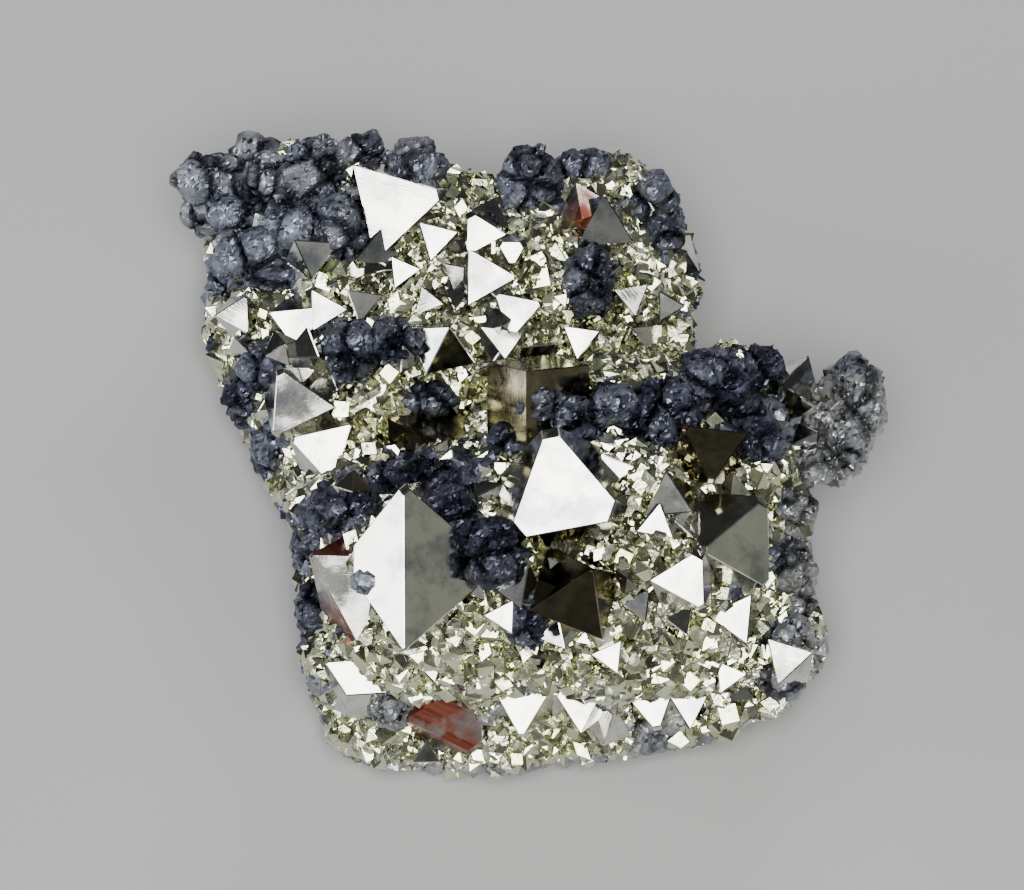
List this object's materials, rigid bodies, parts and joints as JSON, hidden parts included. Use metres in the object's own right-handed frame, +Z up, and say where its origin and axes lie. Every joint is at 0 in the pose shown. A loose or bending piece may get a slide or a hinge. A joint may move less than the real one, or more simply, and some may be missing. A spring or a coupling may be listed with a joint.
{
  "type": "pyrite crystal cluster",
  "caption": "Cluster of mirror-faced pyrite octahedra on a two-level matrix, with galena lumps along its edges, lying on its flat broken base.",
  "frame": {"origin": "centre of the footprint's box, on the surface the cluster rests on", "axes": "+X along the cluster's longest side, +Y towards its higher back shelf, +Z up from the flat base"},
  "size_m": [0.072, 0.069, 0.0352],
  "materials": {
    "pyrite": "gloss",
    "galena": "satin"
  },
  "bodies": {
    "root": {"pyrite_mass": "pyrite", "galena_lump_01": "galena", "galena_lump_02": "galena", "galena_lump_03": "galena", "galena_lump_04": "galena", "galena_lump_05": "galena", "galena_lump_06": "galena", "galena_lump_07": "galena", "galena_lump_08": "galena", "galena_lump_09": "galena", "galena_lump_10": "galena", "galena_lump_11": "galena", "galena_lump_12": "galena", "galena_lump_13": "galena", "galena_lump_14": "galena", "galena_lump_15": "galena", "galena_lump_16": "galena", "galena_lump_17": "galena", "galena_lump_18": "galena", "galena_lump_19": "galena", "galena_lump_20": "galena", "galena_lump_21": "galena", "galena_lump_22": "galena", "galena_lump_23": "galena", "galena_lump_24": "galena", "galena_lump_25": "galena", "galena_lump_26": "galena", "galena_lump_27": "galena", "galena_lump_28": "galena", "galena_lump_29": "galena", "galena_lump_30": "galena", "galena_lump_31": "galena", "galena_lump_32": "galena", "galena_lump_33": "galena", "galena_lump_34": "galena"}
  },
  "joints": []
}
